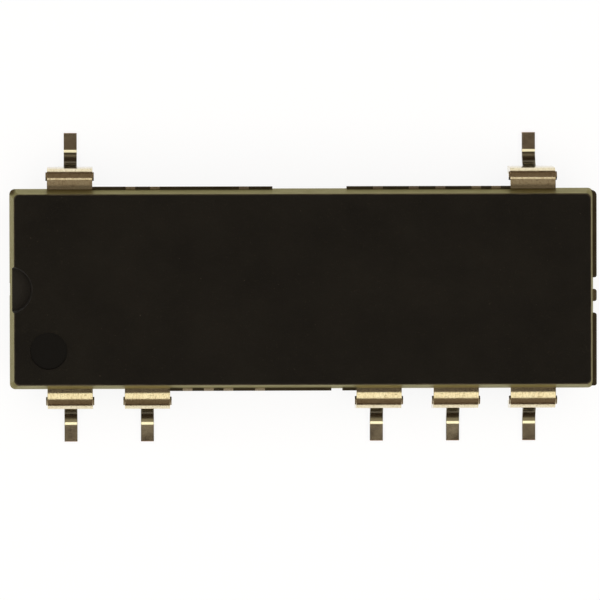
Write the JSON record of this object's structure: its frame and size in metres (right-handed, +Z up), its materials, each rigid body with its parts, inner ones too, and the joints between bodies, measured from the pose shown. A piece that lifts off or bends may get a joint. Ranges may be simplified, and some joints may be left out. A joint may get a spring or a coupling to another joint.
{
  "type": "dc-dc converter module",
  "caption": "Isolated DC-DC converter: wound toroid and chips on a leadframe, moulded in a slim dual-in-line case with gull-wing leads.",
  "frame": {"origin": "on the board plane under the middle of the lead pattern", "axes": "+X along the case away from its notched end, +Z up from the board, +Y to the side with two leads"},
  "size_m": [0.0193, 0.0102, 0.0043],
  "materials": {
    "moulding_compound": "near-black silica-filled epoxy, fine matt mould texture",
    "tinned_lead": "warm tin plate over copper alloy, satin",
    "leadframe_metal": "bare copper alloy with sheared ends",
    "silicon": "polished silicon with a metallised top",
    "ferrite": "sintered ferrite, matt dark grey",
    "enamelled_wire": "enamelled copper, glossy",
    "bond_wire": "bare gold"
  },
  "bodies": {
    "root": {"moulded_case": "moulding_compound", "lead_1": "tinned_lead", "lead_2": "tinned_lead", "lead_5": "tinned_lead", "lead_6": "tinned_lead", "lead_7": "tinned_lead", "lead_8": "tinned_lead", "lead_14": "tinned_lead", "bond_post_1": "leadframe_metal", "bond_post_2": "leadframe_metal", "bond_post_3": "leadframe_metal", "bond_post_4": "leadframe_metal", "bond_post_5": "leadframe_metal", "bond_post_6": "leadframe_metal", "bond_post_7": "leadframe_metal", "bond_post_8": "leadframe_metal", "driver_chip": "silicon", "rectifier_chip_1": "silicon", "rectifier_chip_2": "silicon", "toroid_core": "ferrite", "primary_winding": "enamelled_wire", "secondary_winding_1": "enamelled_wire", "secondary_winding_2": "enamelled_wire", "bond_wire_supply": "bond_wire", "bond_wire_sync": "bond_wire", "bond_wire_ground": "bond_wire", "bond_wire_tap": "bond_wire", "bond_wire_drive_1": "bond_wire", "bond_wire_drive_2": "bond_wire", "bond_wire_rectifier_1": "bond_wire", "bond_wire_rectifier_2": "bond_wire"}
  },
  "joints": []
}
